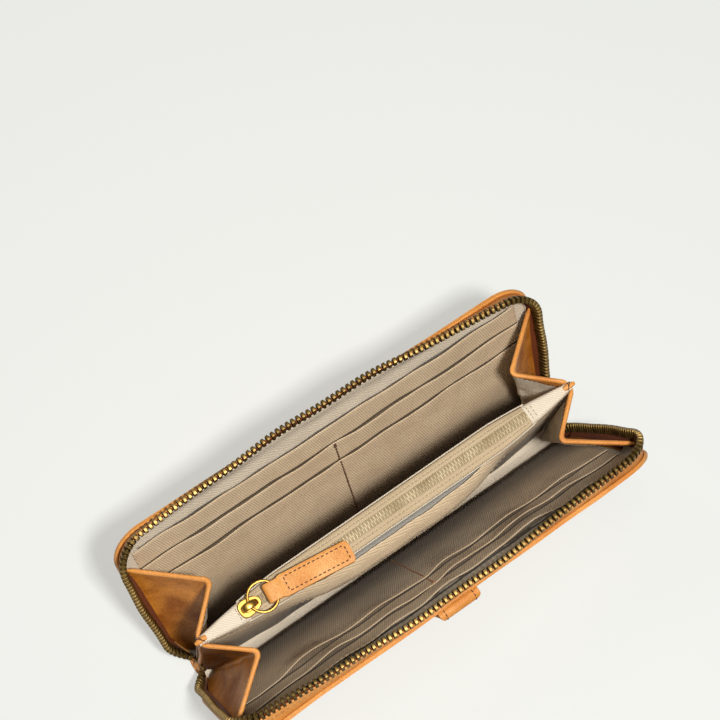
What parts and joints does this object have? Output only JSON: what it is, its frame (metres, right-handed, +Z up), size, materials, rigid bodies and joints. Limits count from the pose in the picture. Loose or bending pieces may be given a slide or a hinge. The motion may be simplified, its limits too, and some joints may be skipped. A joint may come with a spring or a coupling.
{
  "type": "zip around wallet",
  "caption": "Long leather wallet whose two covers open from a spine on folding gussets, with card slots inside, a zipped coin pocket between them and a zip round three sides.",
  "frame": {"origin": "centre of the spine's underside, which the open wallet stands on", "axes": "+X along the spine towards the end where the main slider starts, +Y towards the far cover, +Z up"},
  "size_m": [0.203, 0.095, 0.0988],
  "materials": {
    "tan_leather": "smooth full-grain, satin",
    "gusset_leather": "soft creased grain, satin",
    "twill": "fine diagonal twill, slight sheen",
    "cream_twill": "ribbed cream twill",
    "zip_tape": "dark red-brown herringbone zip tape",
    "nylon_coil": "moulded nylon coil",
    "board": "fibreboard stiffener",
    "antique_brass": "antiqued, worn bright on the edges",
    "bright_brass": "polished",
    "thread": "waxed dark brown thread"
  },
  "bodies": {
    "root": {"spine_leather": "tan_leather", "spine_lining": "twill", "coin_wall_far": "twill", "coin_wall_near": "twill", "coin_tape_far": "cream_twill", "coin_tape_near": "cream_twill", "coin_coil": "nylon_coil", "coin_end_tab_left": "cream_twill", "coin_end_tab_right": "cream_twill", "gusset_seam_left": "thread", "gusset_seam_right": "thread", "zip_end_tab": "tan_leather", "zip_bottom_stop": "antique_brass"},
    "far_cover": {"far_cover_leather": "tan_leather", "far_cover_board": "board", "far_cover_lining": "twill", "far_card_slot_high": "twill", "far_card_slot_mid": "twill", "far_card_slot_low": "twill", "far_divider_seam": "thread", "far_side_tape_left": "zip_tape", "far_side_tape_right": "zip_tape", "far_side_teeth_left": "antique_brass", "far_side_teeth_right": "antique_brass", "far_top_stop": "antique_brass"},
    "far_zip_edge": {"far_edge_tape": "zip_tape", "far_edge_teeth": "antique_brass"},
    "near_cover": {"near_cover_leather": "tan_leather", "near_cover_board": "board", "near_cover_lining": "twill", "near_card_slot_high": "twill", "near_card_slot_mid": "twill", "near_card_slot_low": "twill", "near_divider_seam": "thread", "near_side_tape_left": "zip_tape", "near_side_tape_right": "zip_tape", "near_side_teeth_left": "antique_brass", "near_side_teeth_right": "antique_brass", "near_top_stop": "antique_brass", "near_outer_pocket": "tan_leather", "snap_stud": "antique_brass", "snap_tab_root": "tan_leather"},
    "near_zip_edge": {"near_edge_tape": "zip_tape", "near_edge_teeth": "antique_brass"},
    "snap_tab": {"snap_tab_leather": "tan_leather", "snap_cap": "antique_brass"},
    "coin_slider": {"coin_slider_body": "bright_brass"},
    "coin_ring": {"coin_ring": "bright_brass"},
    "coin_pull": {"coin_pull_leather": "tan_leather"},
    "main_slider": {"main_slider_body": "antique_brass"},
    "main_ring": {"main_ring": "bright_brass"},
    "main_pull": {"main_pull_leather": "tan_leather"},
    "gusset_far_left_outer": {"gusset_far_left_outer": "gusset_leather"},
    "gusset_far_left_inner": {"gusset_far_left_inner": "gusset_leather"},
    "gusset_far_right_outer": {"gusset_far_right_outer": "gusset_leather"},
    "gusset_far_right_inner": {"gusset_far_right_inner": "gusset_leather"},
    "gusset_near_left_outer": {"gusset_near_left_outer": "gusset_leather"},
    "gusset_near_left_inner": {"gusset_near_left_inner": "gusset_leather"},
    "gusset_near_right_outer": {"gusset_near_right_outer": "gusset_leather"},
    "gusset_near_right_inner": {"gusset_near_right_inner": "gusset_leather"}
  },
  "joints": [
    {"name": "far_cover", "type": "hinge", "parent": "root", "child": "far_cover", "pos_m": [0, 0.0092, 0.0015], "axis": [1, 0, 0], "range_deg": [-8, 20.5]},
    {"name": "near_cover", "type": "hinge", "parent": "root", "child": "near_cover", "pos_m": [0, -0.0092, 0.0015], "axis": [-1, 0, 0], "range_deg": [-8, 18]},
    {"name": "far_zip_edge", "type": "hinge", "parent": "far_cover", "child": "far_zip_edge", "pos_m": [0, 0.04365, 0.08703], "axis": [1, 0, 0], "range_deg": [-28, 62.5]},
    {"name": "near_zip_edge", "type": "hinge", "parent": "near_cover", "child": "near_zip_edge", "pos_m": [0, -0.03989, 0.08845], "axis": [-1, 0, 0], "range_deg": [-28, 62.5]},
    {"name": "gusset_far_left_outer", "type": "hinge", "parent": "far_cover", "child": "gusset_far_left_outer", "pos_m": [-0.0956, 0.00797, 0.00742], "axis": [0, 0.3827, 0.9239], "range_deg": [-16.5, 41]},
    {"name": "gusset_far_left_inner", "type": "hinge", "parent": "root", "child": "gusset_far_left_inner", "pos_m": [-0.0914, 0.0024, 0.006], "axis": [0, 0.0081, -1], "range_deg": [-14, 33.5]},
    {"name": "gusset_far_right_outer", "type": "hinge", "parent": "far_cover", "child": "gusset_far_right_outer", "pos_m": [0.0956, 0.00797, 0.00742], "axis": [0, -0.3827, -0.9239], "range_deg": [-16.5, 41]},
    {"name": "gusset_far_right_inner", "type": "hinge", "parent": "root", "child": "gusset_far_right_inner", "pos_m": [0.0914, 0.0024, 0.006], "axis": [0, -0.0081, 1], "range_deg": [-14, 33.5]},
    {"name": "gusset_near_left_outer", "type": "hinge", "parent": "near_cover", "child": "gusset_near_left_outer", "pos_m": [-0.0956, -0.00771, 0.00736], "axis": [0, 0.342, -0.9397], "range_deg": [-16.5, 41]},
    {"name": "gusset_near_left_inner", "type": "hinge", "parent": "root", "child": "gusset_near_left_inner", "pos_m": [-0.0914, -0.0024, 0.006], "axis": [0, 0.0081, 1], "range_deg": [-14, 33.5]},
    {"name": "gusset_near_right_outer", "type": "hinge", "parent": "near_cover", "child": "gusset_near_right_outer", "pos_m": [0.0956, -0.00771, 0.00736], "axis": [0, -0.342, 0.9397], "range_deg": [-16.5, 41]},
    {"name": "gusset_near_right_inner", "type": "hinge", "parent": "root", "child": "gusset_near_right_inner", "pos_m": [0.0914, -0.0024, 0.006], "axis": [0, -0.0081, -1], "range_deg": [-14, 33.5]},
    {"name": "snap_tab", "type": "hinge", "parent": "near_cover", "child": "snap_tab", "pos_m": [0, -0.045, 0.08744], "axis": [-1, 0, 0], "range_deg": [0, 150]},
    {"name": "coin_slider", "type": "slide", "parent": "root", "child": "coin_slider", "axis": [-1, 0, 0], "range_m": [-0.134, 0]},
    {"name": "coin_ring", "type": "hinge", "parent": "coin_slider", "child": "coin_ring", "pos_m": [-0.0675, 0, 0.0835], "axis": [0, 1, 0], "range_deg": [-115, 0]},
    {"name": "coin_pull", "type": "hinge", "parent": "coin_ring", "child": "coin_pull", "pos_m": [-0.05515, -0.00076, 0.0835], "axis": [0.1219, 0.9925, 0], "range_deg": [-60, 0]},
    {"name": "main_slider", "type": "slide", "parent": "root", "child": "main_slider", "axis": [0, 0, 1], "range_m": [0, 0.062]},
    {"name": "main_ring", "type": "hinge", "parent": "main_slider", "child": "main_ring", "pos_m": [0.1016, 0, 0.01], "axis": [0, 0, -1], "range_deg": [0, 95]},
    {"name": "main_pull", "type": "hinge", "parent": "main_ring", "child": "main_pull", "pos_m": [0.1016, 0.01233, 0.0087], "axis": [0, -0.1045, -0.9945], "range_deg": [0, 45]}
  ],
  "couplings": [
    {"joint": "far_zip_edge", "follows": "far_cover", "ratio": 3.0244},
    {"joint": "near_zip_edge", "follows": "near_cover", "ratio": 3.4444},
    {"joint": "gusset_far_left_outer", "follows": "far_cover", "ratio": 1.97},
    {"joint": "gusset_far_left_inner", "follows": "far_cover", "ratio": 1.6},
    {"joint": "gusset_far_right_outer", "follows": "far_cover", "ratio": 1.97},
    {"joint": "gusset_far_right_inner", "follows": "far_cover", "ratio": 1.6},
    {"joint": "gusset_near_left_outer", "follows": "near_cover", "ratio": 1.97},
    {"joint": "gusset_near_left_inner", "follows": "near_cover", "ratio": 1.65},
    {"joint": "gusset_near_right_outer", "follows": "near_cover", "ratio": 1.97},
    {"joint": "gusset_near_right_inner", "follows": "near_cover", "ratio": 1.65}
  ]
}
